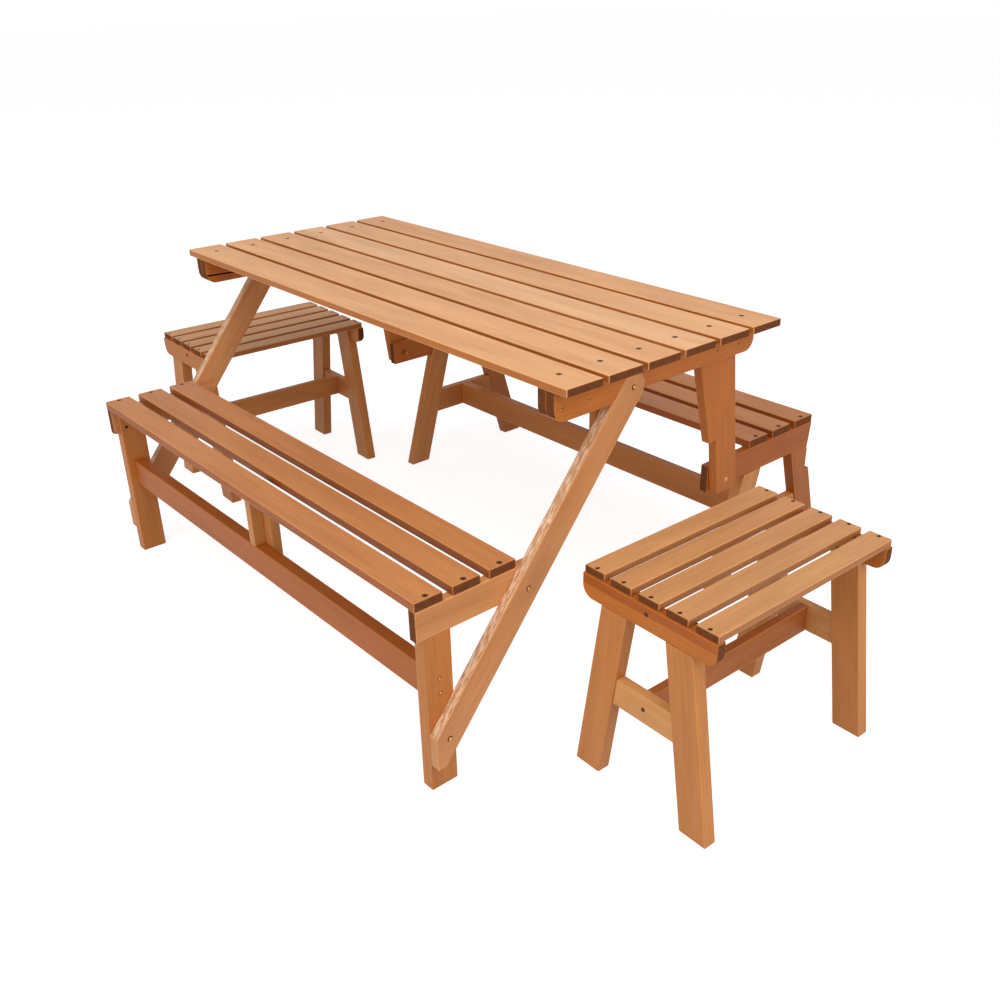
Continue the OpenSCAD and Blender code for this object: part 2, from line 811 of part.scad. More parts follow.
module stool_slats() {
    color(wood_top) for (i = [0 : STOOL_SLATS - 1]) {
        y = i * (stool_slat_w + stool_slat_gap) - stool_w / 2;
        slat(y, stool_slat_z, stool_slat_w, stool_slat_t, stool_slat_l / 2, stool_screw_x);
    }
}

module stool_rail(side) {
    half = stool_w / 2 + stool_rail_past;
    color(wood_frame) at_end(side) difference() {
        board(stool_half - bench_rail_t, stool_half) difference() {
            translate([-half, stool_rail_z]) square([2 * half, stool_rail_h]);
            corner_waste([-half, stool_rail_z], stool_rail_round, [1, 1]);
            corner_waste([half, stool_rail_z], stool_rail_round, [-1, 1]);
        }
        slat_holes(STOOL_SLATS, -stool_w / 2, stool_h, stool_slat_w, stool_slat_gap, stool_screw_x);
        both_legs() lap_holes(stool_half, stool_rail_z, stool_rail_h, stool_tongue_y);
        outwards(stool_half, stool_mid_screw[0], stool_mid_screw[1])
            shank_hole(screw_d + 2 * fit, stool_mid_screw_l + fit);
    }
}

module stool_legs(side) {
    color(wood_frame) at_end(side) both_legs() difference() {
        lapped_leg(stool_half, bench_rail_t, stool_rail_z, stool_rail_h, stool_tongue_y)
            splayed_outline(stool_foot_half, stool_lean, stool_leg_w, stool_slat_z);
        tenons(stool_half, stool_foot_half, stool_lean, stool_leg_w, stool_stretcher_z, stool_stretcher_h, fit);
    }
}

module stool_cross_stretchers() {
    color(wood_frame) both_ends() cross_stretcher(
        stool_half, stool_foot_half, stool_lean, stool_leg_w, stool_stretcher_z, stool_stretcher_h, bench_rail_t);
}

module stool_long_stretcher() {
    x = stool_half - stretcher_in;
    color(wood_frame) difference() {
        long_stretcher(x - bench_rail_t, 0, stool_stretcher_z, stool_stretcher_h, bench_rail_t);
        end_bores(x, 0, stool_stretcher_z + stool_stretcher_h / 2, dome_screw_l);
    }
}

module stool_screws() {
    color(steel) both_ends() {
        slat_screws(STOOL_SLATS, -stool_w / 2, stool_h, stool_slat_w, stool_slat_gap, stool_screw_x);
        both_legs() lap_screws(stool_half, stool_rail_z, stool_rail_h, stool_tongue_y);
        outwards(stool_half, stool_mid_screw[0], stool_mid_screw[1])
            domed(screw_d, stool_mid_screw_l, dome_d, dome_h);
        outwards(stool_half - stretcher_in, 0, stool_stretcher_z + stool_stretcher_h / 2)
            domed(screw_d, dome_screw_l, dome_d, dome_h);
    }
}

module right_stool() {
    in_set() at_stool(right_stool_at, right_stool_turn) children();
}

module left_stool() {
    in_set() at_stool(left_stool_at, left_stool_turn) children();
}

in_set() top_slat(1);  // top_slat_1
in_set() top_slat(2);  // top_slat_2
in_set() top_slat(3);  // top_slat_3
in_set() top_slat(4);  // top_slat_4
in_set() top_slat(5);  // top_slat_5
in_set() top_slat(6);  // top_slat_6
in_set() top_rail(-1);  // top_rail_left
in_set() top_rail(1);  // top_rail_right
in_set() stop_block(-1);  // stop_block_left
in_set() stop_block(1);  // stop_block_right
in_set() hanger(-1);  // hanger_left
in_set() hanger(1);  // hanger_right
in_set() top_slat_screws();
in_set() hanger_screws();
in_set() rear_pivot_bolts();
in_set() front_seat_slat(1);  // front_seat_slat_1
in_set() front_seat_slat(2);  // front_seat_slat_2
in_set() front_seat_slat(3);  // front_seat_slat_3
in_set() front_rail(-1);  // front_rail_left
in_set() front_rail(1);  // front_rail_right
in_set() brace(-1);  // brace_left
in_set() brace(1);  // brace_right
in_set() front_leg(-1);  // front_leg_left
in_set() front_leg(1);  // front_leg_right
in_set() front_stretcher();
in_set() front_centre_plank();
in_set() front_centre_board();
in_set() front_screws();
in_set() front_pivot_bolts();
in_set() rear_seat_slat(1);  // rear_seat_slat_1
in_set() rear_seat_slat(2);  // rear_seat_slat_2
in_set() rear_seat_slat(3);  // rear_seat_slat_3
in_set() rear_rail(-1);  // rear_rail_left
in_set() rear_rail(1);  // rear_rail_right
in_set() rear_inner_leg(-1);  // rear_inner_leg_left
in_set() rear_inner_leg(1);  // rear_inner_leg_right
in_set() rear_outer_leg(-1);  // rear_outer_leg_left
in_set() rear_outer_leg(1);  // rear_outer_leg_right
in_set() rear_cross_stretcher(-1);  // rear_cross_stretcher_left
in_set() rear_cross_stretcher(1);  // rear_cross_stretcher_right
in_set() rear_long_stretcher();
in_set() rear_centre_plank();
in_set() rear_centre_board();
in_set() rear_screws();
right_stool() stool_slats();  // right_stool_slats
right_stool() stool_rail(-1);  // right_stool_rail_front
right_stool() stool_rail(1);  // right_stool_rail_rear
right_stool() stool_legs(-1);  // right_stool_legs_front
right_stool() stool_legs(1);  // right_stool_legs_rear
right_stool() stool_cross_stretchers();  // right_stool_cross_stretchers
right_stool() stool_long_stretcher();  // right_stool_long_stretcher
right_stool() stool_screws();  // right_stool_screws
left_stool() stool_slats();  // left_stool_slats
left_stool() stool_rail(-1);  // left_stool_rail_front
left_stool() stool_rail(1);  // left_stool_rail_rear
left_stool() stool_legs(-1);  // left_stool_legs_front
left_stool() stool_legs(1);  // left_stool_legs_rear
left_stool() stool_cross_stretchers();  // left_stool_cross_stretchers
left_stool() stool_long_stretcher();  // left_stool_long_stretcher
left_stool() stool_screws();  // left_stool_screws
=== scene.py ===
import json
import math
import random

import bmesh
import bpy
from bpy.props import FloatProperty, FloatVectorProperty, IntProperty, PointerProperty
from bpy.types import Operator, Panel, PropertyGroup
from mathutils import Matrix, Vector


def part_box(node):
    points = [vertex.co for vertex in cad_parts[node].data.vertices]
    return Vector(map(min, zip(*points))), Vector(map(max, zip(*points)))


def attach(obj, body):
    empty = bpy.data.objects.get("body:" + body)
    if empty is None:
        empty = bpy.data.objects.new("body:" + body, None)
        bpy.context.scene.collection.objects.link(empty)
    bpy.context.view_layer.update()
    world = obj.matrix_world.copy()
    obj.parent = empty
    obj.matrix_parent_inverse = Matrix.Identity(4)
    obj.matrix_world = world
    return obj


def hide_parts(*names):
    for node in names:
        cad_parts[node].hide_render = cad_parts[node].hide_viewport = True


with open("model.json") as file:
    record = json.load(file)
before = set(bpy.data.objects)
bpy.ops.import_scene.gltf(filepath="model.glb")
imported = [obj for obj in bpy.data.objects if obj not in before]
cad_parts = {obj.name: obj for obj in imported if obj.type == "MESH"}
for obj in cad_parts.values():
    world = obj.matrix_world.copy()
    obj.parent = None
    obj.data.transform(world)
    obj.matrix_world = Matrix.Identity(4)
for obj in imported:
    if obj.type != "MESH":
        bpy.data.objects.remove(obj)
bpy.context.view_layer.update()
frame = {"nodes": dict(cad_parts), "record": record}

bl_info = {
    "name": "Folding picnic table",
    "version": (1, 0, 0),
    "blender": (4, 5, 0),
    "location": "3D View > Sidebar > Picnic Table",
    "description": "Eases and finishes the boards of a folding picnic table with benches and stools",
    "category": "Object",
}

# Lengths are in metres

# The body that each CAD node rides on
BODY_OF = {
    node: body
    for body, nodes in frame["record"]["behaviour"]["bodies"].items()
    for node in nodes
}
# The middle of the table's length, and its left front corner on the floor, which the camera is placed from
FRONT_SLAT_LOW, FRONT_SLAT_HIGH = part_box("top_slat_1")
TABLE_MIDDLE = (FRONT_SLAT_LOW.x + FRONT_SLAT_HIGH.x) / 2
TABLE_CORNER = Vector((FRONT_SLAT_LOW.x, FRONT_SLAT_LOW.y, 0))

# Ends of the names of the nodes that are metal
FASTENERS = ("screws", "bolts")
# Finishes of a board: its faces, its sawn ends, and its eased edges while it is shaped
FACE_SLOT, END_SLOT, EASED_SLOT = range(3)
# Finishes of a screw or bolt: bare plating, dark stain on sunk heads that is also painted shade on the rims
# of domed heads, and the stain of the rails
PLATED_SLOT, STAIN_AND_RIM_SHADE_SLOT, RAIL_STAINED_SLOT = range(3)

# Tone of each board, from -1, pale, to 1, deep, by the way its name begins: partly the stain it took up,
# partly painted light, as the pale values lift boards that lie in shade, such as the centre boards, the
# inner rear legs and the far stool
OWN_STAIN_AND_PAINTED_LIGHT = {
    "front_rail": 0.1,
    "right_stool_cross": -0.85,
    "front_stretcher": 0.35,
    "front_centre": -0.55,
    "right_stool_long": 0.65,
    "right_stool_legs": -0.2,
    "left_stool": -0.2,
    "rear_seat_slat": 0.2,
    "rear_rail": 0.55,
    "rear_outer_leg": 0.68,
    "rear_inner_leg": -0.4,
    "stop_block": -0.1,
    "top_slat_3": -0.1,
    "top_slat_4": -0.25,
}
# Painted shade on the narrow sides of slats, beyond their own tone, for the shade in the gaps between them
PAINTED_GAP_SHADE = {
    "top_slat_1": 0.85,
    "top_slat": 1,
    "front_seat_slat": 0.85,
    "rear_seat_slat": 0.9,
    "right_stool": 0.6,
    "left_stool": 0.9,
}
# Height of a rail's upper band, from the top of the rail, and how much darker that band is made than the
# rest
TWO_BANDS = {"right_stool_rail_front": 0.019}
UPPER_BAND_DARKER = 0.6
# How much less stain saw marks took up
SAWN_STAIN = 0.3
# Stain between the palest and the deepest of two boards of one kind
STAIN_SPREAD = 0.16
# What the deepest and the palest tone do to red, green and blue; the tone holds stain, painted shade and
# painted light
DEEP_TINT = (0.6, 0.37, 0.1, 1)
PALE_TINT = (1.28, 1.72, 2.5, 1)

# Distance from the middle of a slat to the screws at its ends, and one that is beyond any board
SLAT_SCREWS = {"top_slat": 0.6335, "front_seat_slat": 0.635, "rear_seat_slat": 0.59}
NO_SCREWS = 9
# Radius to which stain pooled about those screws, the share of it where it is deepest, and how deep
HALO = 0.0072
HALO_CORE = 0.7
HALO_DEPTH = 0.8
# A screw that is taller than this stands upright, and its head is sunk in a slat
UPRIGHT_SCREW = 0.03
# Level screws that the stain ran over, as it did over all the sunk ones
STAINED_OVER = ("right_stool_screws", "left_stool_screws")
# A domed head is painted dark where its face looks outward by less than this, as painted shade on its rim
RIM_SLOPE = 0.75

# Corners of a CAD mesh closer than this are one, and faces within this angle are one flat face
MERGE_DISTANCE = 0.00002
FLAT = math.radians(0.5)
# A merged arc of a hole has edges shorter than this, and an outline that is eased has none
SHORTEST_EASED_EDGE = 0.0016
# Corners sharper than this are eased, and those sharper than the next one bound a board's sides
SHARP = math.radians(30)
BOARD_EDGE = math.radians(10)
# Smooth shading stops at corners sharper than these
BOARD_CREASE = math.radians(50)
HEAD_CREASE = math.radians(35)
# A face looks along a direction above the first of these, and across it below the second
ALONG = 0.8
ACROSS = 0.1
# Weight of broad faces against narrow ones in the shading
BROAD_FACES = 100

# Length of the log, and the heart's distance from a board's middle, through and across it
LOG_LENGTH = 3
HEART_DEPTH = (0.02, 0.07)
HEART_ASIDE = 0.05
# Factor on a board's number that gives each board a noise of its own
TONE_STEP = 40
# Thickness of the rings on a sawn end, as a share of those on a face
END_RINGS = 0.6
# Length, thickness and width of the slow bends in the growth rings, and how far these push a ring
RING_BEND = (0.385, 0.0625, 0.0625)
RING_PUSH = (0, 0.03, 0.03)
# Length and width of blotches of stain, of open pores, and of the dashes and torn grain that a saw leaves.
# Pores and dashes are drawn a few times as coarse as the real ones, so that they show.
BLOTCH = (0.32, 0.045)
PORE = (0.02, 0.0008)
SAW_DASH = (0.02, 0.003)
TORN_GRAIN = (0.004, 0.0045)
# Size of the cloudy patches in zinc plating, and of those in stain on steel
PLATING_CLOUD = 0.0024
STAIN_CLOUD = 0.0017

# Noise seldom leaves the range between these
NOISE_LOW, NOISE_HIGH = 0.3, 0.7
# How far rings and fibres change the figure of the wood, each way, and the range that blotches give it
RING_CONTRAST = 0.06
FIBRE_CONTRAST = 0.2
BLOTCH_RANGE = (0.2, 0.8)
# Range of the noise in which pores begin and end, and how much their stain covers
PORE_RANGE = (0.62, 0.74)
PORE_COVER = 0.3
# Range of the noise in which the dashes of a saw begin and end, and how much they cover
DASH_RANGE = (0.44, 0.56)
DASH_COVER = 0.8
# What rings and torn grain add to the paler colour of an end
END_RING_RANGE = (0.1, 0.55)
END_TORN_RANGE = (-0.1, 0.45)
# Late wood against the stain's own colour, in red, green and blue, and early wood
LATE_WOOD = (0.74, 0.666, 0.607)
EARLY_WOOD = 1.1
# Shares of the stain's own colour in pores, in dark dashes, where stain pooled, and in the painted
# highlight on eased edges
PORE_SHADE = 0.45
DASH_SHADE = 0.6
POOLED_SHADE = 0.1
PAINTED_HIGHLIGHT_SHARE = 1.35
# Shares of the end grain's own colour in its dark and pale parts, and in the painted highlight on its eased
# edges
END_SHADES = (0.42, 1.55)
END_PAINTED_HIGHLIGHT_SHARE = 2.6
# How far an eased edge is turned to its paler colour as a painted highlight, on a face and at an end
PAINTED_HIGHLIGHT_ON_FACE = 0.3
PAINTED_HIGHLIGHT_AT_END = 0.5
# Shares of the metal's own colour in the dark and pale patches of plating, and of stain on steel
PLATING_SHADES = (0.8, 1.15)
STAINED_SHADES = (0.6, 1.6)

# Roughness of dense and soft fibres, of a sawn end, and of clear and cloudy patches on the heads
SATIN_ROUGHNESS = (0.44, 0.58)
END_ROUGHNESS = 0.72
PLATING_ROUGHNESS = (0.24, 0.42)
STAINED_ROUGHNESS = (0.6, 0.85)
# How much of the wood's shine is left on an oiled face and on a dry end
FACE_SHINE = 0.35
END_SHINE = 0.12
# Index of refraction of oiled wood
OILED_IOR = 1.48
# Share of bare metal where stain covers steel
BARE_METAL = 0.15
# Strength and depth of the fibres' relief on a face, and of the torn grain's at an end
FACE_RELIEF = {"Strength": 0.35, "Distance": 0.0004}
END_RELIEF = {"Strength": 0.4, "Distance": 0.0005}

# The wave texture's rings are this far apart at scale 1
WAVE_PERIOD = 2 * math.pi / 20
# Sockets of the mix node for its factor and its two colours, and for the mix
MIX_INPUTS = (0, 6, 7)
MIX_OUTPUT = 2

# Grey and roughness of the floor's paint, and its glow where it is looked at, which leaves only the shadows
FLOOR_PAINT = 0.5
FLOOR_ROUGHNESS = 0.9
FLOOR_GLOW = 0.8
FLOOR_SIZE = 60
# Name, power, place, aim and size of each soft lamp
LAMPS = (
    ("Key lamp", "key", (1.0, -1.2, 3.6), (0, 0, 0.5), 3),
    ("Side lamp", "side", (4.2, -0.2, 2.2), (0, 0, 0.4), 2.5),
    ("Fill lamp", "fill", (0.8, -4.4, 1.6), (0, 0, 0.4), 2.5),
)
# Width of the camera's sensor in millimetres, and the farthest that it sees
SENSOR_WIDTH = 36
FARTHEST_SEEN = 100


def linear(hex_colour):
    """The linear colour of an sRGB hex value."""
    parts = [int(hex_colour[i : i + 2], 16) / 255 for i in (1, 3, 5)]
    return tuple(c / 12.92 if c <= 0.04045 else ((c + 0.055) / 1.055) ** 2.4 for c in parts)


def length_property(name, description, metres, least, most):
    return FloatProperty(
        name=name,
        description=description,
        default=metres,
        min=least,
        max=most,
        unit="LENGTH",
    )


def colour_property(name, description, hex_colour):
    return FloatVectorProperty(
        name=name,
        description=description,
        default=linear(hex_colour),
        size=3,
        min=0,
        max=1,
        subtype="COLOR",
    )


def power_property(name, description, watts):
    return FloatProperty(
        name=name,
        description=description,
        default=watts,
        min=0,
        max=1000,
        unit="POWER",
    )


class PicnicWork(PropertyGroup):
    easing: length_property(
        "Edge easing", "Radius to which the edges of the boards are sanded", 0.0018, 0.0005, 0.004
    )
    easing_steps: IntProperty(
        name="Easing steps", description="Faces across an eased edge", default=2, min=1, max=4
    )
    ring_spacing: length_property("Growth ring", "Thickness of one growth ring", 0.0055, 0.002, 0.012)
    fibre_width: length_property("Fibre streak", "Width of the fine streaks", 0.002, 0.0005, 0.005)
    fibre_length: length_property("Streak length", "Length of the fine streaks", 0.11, 0.02, 0.3)


class PicnicColours(PropertyGroup):
    table_slats: colour_property("Table slats", "Stained face of the table slats", "#e8ab74")
    seat_slats: colour_property("Seat slats", "Stained face of the bench slats", "#ca854d")
    stool_slats: colour_property("Stool slats", "Stained face of the stool slats", "#cf935c")
    rails: colour_property("Rails", "Stained face of the rails, blocks and hangers", "#c67328")
    legs: colour_property("Legs", "Stained face of the legs and stretchers", "#cb8140")
    braces: colour_property("Braces", "Stained face of the braces", "#dc9a62")
    saw_dashes: colour_property("Saw dashes", "Pale dashes of the saw marks on the braces", "#e6bd95")
    end_grain: colour_property("End grain", "Stained end grain, which drinks the most stain", "#704022")
    passivated: colour_property("Domed heads", "Yellow-passivated zinc of the domed heads", "#c98d45")
    # Also the colour of the painted shade on the rims of the domed heads
    sunk_head_and_rim_shade: colour_property("Sunk heads", "Stained-over steel of the sunk screws", "#3b2010")


class PicnicStage(PropertyGroup):
    eye: FloatVectorProperty(
        name="Camera",
        description="Place of the camera from the table's left front corner",
        default=(2.6159, -1.1745, 1.3730),
        size=3,
        unit="LENGTH",
        subtype="TRANSLATION",
    )
    turn: FloatVectorProperty(
        name="Camera turn",
        description="Turn of the camera",
        default=(math.radians(62.936), math.radians(0.463), math.radians(48.012)),
        size=3,
        unit="ROTATION",
        subtype="EULER",
    )
    focal: FloatProperty(
        name="Focal length", description="Focal length in millimetres", default=38.23, min=20, max=90
    )
    shift: FloatVectorProperty(
        name="Shift", description="Shift of the view", default=(-0.0289, 0.0116), size=2
    )
    sky: FloatProperty(
        name="Sky", description="Strength of the even light from all sides", default=0.38, min=0, max=2
    )
    key: power_property("Key light", "Power of the soft lamp above", 58)
    side: power_property("Side light", "Power of the soft lamp at the right", 62)
    fill: power_property("Fill light", "Power of the soft lamp in front", 54)


# Parts of the materials


def add(tree, kind, inputs=None, **settings):
    """Adds a node with its settings, and links or fills its inputs."""
    node = tree.nodes.new(kind)
    for name, value in settings.items():
        setattr(node, name, value)
    for name, value in (inputs or {}).items():
        if isinstance(value, bpy.types.NodeSocket):
            tree.links.new(value, node.inputs[name])
        else:
            node.inputs[name].default_value = value
    return node


def between(value, low, high, new_low, new_high):
    """The inputs of a map range node, in its order."""
    return dict(enumerate((value, low, high, new_low, new_high)))


def new_material(name):
    """An empty material with its tree and its shader."""
    material = bpy.data.materials.new(name)
    material.use_nodes = True
    tree = material.node_tree
    tree.nodes.clear()
    shader = add(tree, "ShaderNodeBsdfPrincipled")
    add(tree, "ShaderNodeOutputMaterial", {"Surface": shader.outputs["BSDF"]})
    return material, tree, shader


def mixed(tree, factor, first, second, blend="MIX"):
    """Mixes two colours and gives the mix."""
    inputs = dict(zip(MIX_INPUTS, (factor, first, second)))
    return add(tree, "ShaderNodeMix", inputs, data_type="RGBA", blend_type=blend).outputs[MIX_OUTPUT]


def shade(colour, share):
    """A colour darkened or lightened by a share, with full alpha."""
    return tuple(min(1, c * share) for c in colour) + (1,)


def board_marks(tree, *names):
    """What lay_grain and ease noted on a board, by name: its places as vectors, all else as numbers."""
    return [
        add(tree, "ShaderNodeAttribute", attribute_name=name).outputs[
            "Vector" if name in ("grain", "place") else "Fac"
        ]
        for name in names
    ]


def grain_streaks(tree, grain, tone, size, detail=3):
    """Noise drawn out along the board, one streak being as long and wide as said."""
    length, width = size
    spread = add(
        tree,
        "ShaderNodeVectorMath",
        {0: grain, 1: (1 / length, 1 / width, 1 / width)},
        operation="MULTIPLY",
    )
    noise = add(
        tree,
        "ShaderNodeTexNoise",
        {"Vector": spread.outputs[0], "W": tone, "Scale": 1, "Detail": detail, "Roughness": 0.6},
        noise_dimensions="4D",
    )
    return noise.outputs["Fac"]


def growth_rings(tree, grain, tone, spacing):
    """Rings about the heart of the log, which wander slowly along the board."""
    slow = add(
        tree,
        "ShaderNodeVectorMath",
        {0: grain, 1: tuple(1 / size for size in RING_BEND)},
        operation="MULTIPLY",
    )
    wander = add(
        tree,
        "ShaderNodeTexNoise",
        {"Vector": slow.outputs[0], "W": tone, "Scale": 1, "Detail": 2, "Roughness": 0.5},
        noise_dimensions="4D",
    )
    centred = add(
        tree,
        "ShaderNodeVectorMath",
        {0: wander.outputs["Color"], 1: (0.5, 0.5, 0.5)},
        operation="SUBTRACT",
    )
    pushed = add(
        tree,
        "ShaderNodeVectorMath",
        {0: centred.outputs[0], 1: RING_PUSH, 2: grain},
        operation="MULTIPLY_ADD",
    )
    rings = add(
        tree,
        "ShaderNodeTexWave",
        {"Vector": pushed.outputs[0], "Scale": WAVE_PERIOD / spacing, "Distortion": 0},
        wave_type="RINGS",
        rings_direction="X",
        wave_profile="SAW",
    )
    return rings.outputs["Fac"]


def screw_halo(tree):
    """High where stain pooled about the screw at each end of a slat, fading to zero around it."""
    place, reach = board_marks(tree, "place", "screw_reach")
    parts = add(tree, "ShaderNodeSeparateXYZ", {"Vector": place})
    distance = add(tree, "ShaderNodeMath", {0: parts.outputs["X"]}, operation="ABSOLUTE").outputs[0]
    beyond = add(tree, "ShaderNodeMath", {0: distance, 1: reach}, operation="SUBTRACT").outputs[0]
    flat = add(tree, "ShaderNodeCombineXYZ", {"X": beyond, "Y": parts.outputs["Z"]}).outputs[0]
    away = add(tree, "ShaderNodeVectorMath", {0: flat}, operation="LENGTH").outputs["Value"]
    return add(tree, "ShaderNodeMapRange", between(away, HALO, HALO_CORE * HALO, 0, HALO_DEPTH)).outputs[0]


def wood_figure(tree, grain, own, fibres):
    """Rings, fibres and blotches of stain added up, from zero in early wood to one in late wood."""
    rings = growth_rings(tree, grain, own, bpy.context.scene.picnic_work.ring_spacing)
    blotches = grain_streaks(tree, grain, own, BLOTCH, 2)
    soft_rings = add(
        tree, "ShaderNodeMapRange", between(rings, 0, 1, -RING_CONTRAST, RING_CONTRAST)
    ).outputs[0]
    soft_fibres = add(
        tree,
        "ShaderNodeMapRange",
        between(fibres, NOISE_LOW, NOISE_HIGH, -FIBRE_CONTRAST, FIBRE_CONTRAST),
    ).outputs[0]
    soft_blotches = add(
        tree, "ShaderNodeMapRange", between(blotches, NOISE_LOW, NOISE_HIGH, *BLOTCH_RANGE)
    ).outputs[0]
    fine = add(tree, "ShaderNodeMath", {0: soft_rings, 1: soft_fibres}, operation="ADD").outputs[0]
    figure = add(tree, "ShaderNodeMath", {0: fine, 1: soft_blotches}, operation="ADD", use_clamp=True)
    return figure.outputs[0]


def saw_dashes(tree, grain, own, colour):
    """The pale and dark dashes in which the marks of a saw took the stain."""
    dashes = grain_streaks(tree, grain, own, SAW_DASH)
    share = add(tree, "ShaderNodeMapRange", between(dashes, *DASH_RANGE, 0, 1)).outputs[0]
    pale = (*bpy.context.scene.picnic_colours.saw_dashes, 1)
    return mixed(tree, share, shade(colour, DASH_SHADE), pale)


# Materials


def stained_wood(name, colour):
    """Fir planed, stained and oiled: a warm satin face with soft rings, fine streaks, a painted highlight
    on its eased edges, and painted shade and light in its tone.
    """
    work = bpy.context.scene.picnic_work
    material, tree, shader = new_material(name)
    # The stain mark is the face's tone: its own stain, painted shade in the gaps between slats and painted
    # light on boards in shade
    grain, tone, eased, stain, sawn = board_marks(tree, "grain", "tone", "eased", "stain", "sawn")
    own = add(tree, "ShaderNodeMath", {0: tone, 1: TONE_STEP}, operation="MULTIPLY").outputs[0]
    fibres = grain_streaks(tree, grain, own, (work.fibre_length, work.fibre_width))
    late_wood = tuple(c * share for c, share in zip(colour, LATE_WOOD)) + (1,)
    face = mixed(tree, wood_figure(tree, grain, own, fibres), shade(colour, EARLY_WOOD), late_wood)

    # Open pores hold a little more stain
    pores = grain_streaks(tree, grain, own, PORE, 1)
    pore_share = add(tree, "ShaderNodeMapRange", between(pores, *PORE_RANGE, 0, PORE_COVER)).outputs[0]
    face = mixed(tree, pore_share, face, shade(colour, PORE_SHADE))

    # An unplaned edge shows the marks of the saw, and stain pools about a sunk screw
    sawn_share = add(tree, "ShaderNodeMath", {0: DASH_COVER, 1: sawn}, operation="MULTIPLY").outputs[0]
    face = mixed(tree, sawn_share, face, saw_dashes(tree, grain, own, colour))
    face = mixed(tree, screw_halo(tree), face, shade(colour, POOLED_SHADE))

    # Where the tone is deeper the wood is darker and redder, and where it is paler the wood is paler; the
    # tone holds the board's own stain, painted shade in the gaps between slats and painted light on boards
    # in shade
    more = add(tree, "ShaderNodeMath", {0: stain, 1: 0}, operation="MAXIMUM").outputs[0]
    less = add(tree, "ShaderNodeMath", {0: stain, 1: -1}, operation="MULTIPLY", use_clamp=True).outputs[0]
    face = mixed(tree, more, face, DEEP_TINT, "MULTIPLY")
    face = mixed(tree, less, face, PALE_TINT, "MULTIPLY")

    # A painted highlight makes an eased edge paler
    painted_highlight = add(tree, "ShaderNodeMath", {0: eased, 1: PAINTED_HIGHLIGHT_ON_FACE}, operation="MULTIPLY").outputs[0]
    face = mixed(tree, painted_highlight, face, shade(colour, PAINTED_HIGHLIGHT_SHARE))
    tree.links.new(face, shader.inputs["Base Color"])

    # Dense fibres shine a little more than the soft wood between them
    rough = add(
        tree, "ShaderNodeMapRange", between(fibres, NOISE_LOW, NOISE_HIGH, *SATIN_ROUGHNESS)
    ).outputs[0]
    tree.links.new(rough, shader.inputs["Roughness"])
    height = add(tree, "ShaderNodeMath", {0: fibres, 1: pores}, operation="SUBTRACT").outputs[0]
    bump = add(tree, "ShaderNodeBump", {"Height": height, **FACE_RELIEF})
    tree.links.new(bump.outputs["Normal"], shader.inputs["Normal"])
    shader.inputs["IOR"].default_value = OILED_IOR
    shader.inputs["Specular IOR Level"].default_value = FACE_SHINE
    return material


def end_grain_wood(name, colour):
    """Sawn ends of the same fir, which soak up stain: dull dark brown with close rings and torn grain."""
    material, tree, shader = new_material(name)
    grain, tone, eased = board_marks(tree, "grain", "tone", "eased")
    own = add(tree, "ShaderNodeMath", {0: tone, 1: TONE_STEP}, operation="MULTIPLY").outputs[0]
    ring_spacing = bpy.context.scene.picnic_work.ring_spacing * END_RINGS
    rings = growth_rings(tree, grain, own, ring_spacing)
    torn = grain_streaks(tree, grain, own, TORN_GRAIN, 4)
    hard = add(tree, "ShaderNodeMapRange", between(rings, 0, 1, *END_RING_RANGE)).outputs[0]
    patch = add(
        tree, "ShaderNodeMapRange", between(torn, NOISE_LOW, NOISE_HIGH, *END_TORN_RANGE)
    ).outputs[0]
    share = add(tree, "ShaderNodeMath", {0: hard, 1: patch}, operation="ADD", use_clamp=True).outputs[0]
    face = mixed(tree, share, *(shade(colour, part) for part in END_SHADES))
    # A painted highlight makes an eased edge of the end paler
    painted_highlight = add(tree, "ShaderNodeMath", {0: eased, 1: PAINTED_HIGHLIGHT_AT_END}, operation="MULTIPLY").outputs[0]
    face = mixed(tree, painted_highlight, face, shade(colour, END_PAINTED_HIGHLIGHT_SHARE))
    tree.links.new(face, shader.inputs["Base Color"])
    bump = add(tree, "ShaderNodeBump", {"Height": share, **END_RELIEF})
    tree.links.new(bump.outputs["Normal"], shader.inputs["Normal"])
    shader.inputs["Roughness"].default_value = END_ROUGHNESS
    shader.inputs["IOR"].default_value = OILED_IOR
    shader.inputs["Specular IOR Level"].default_value = END_SHINE
    return material


def passivated_steel(name, colour):
    """Steel heads with yellow-passivated zinc plating: warm, softly shining and slightly cloudy."""
    material, tree, shader = new_material(name)
    place = add(tree, "ShaderNodeTexCoord").outputs["Object"]
    pattern = {"Vector": place, "Scale": 1 / PLATING_CLOUD, "Detail": 3}
    cloud = add(tree, "ShaderNodeTexNoise", pattern).outputs["Fac"]
    face = mixed(tree, cloud, *(shade(colour, part) for part in PLATING_SHADES))
    tree.links.new(face, shader.inputs["Base Color"])
    rough = add(
        tree, "ShaderNodeMapRange", between(cloud, NOISE_LOW, NOISE_HIGH, *PLATING_ROUGHNESS)
    ).outputs[0]
    tree.links.new(rough, shader.inputs["Roughness"])
    shader.inputs["Metallic"].default_value = 1
    return material


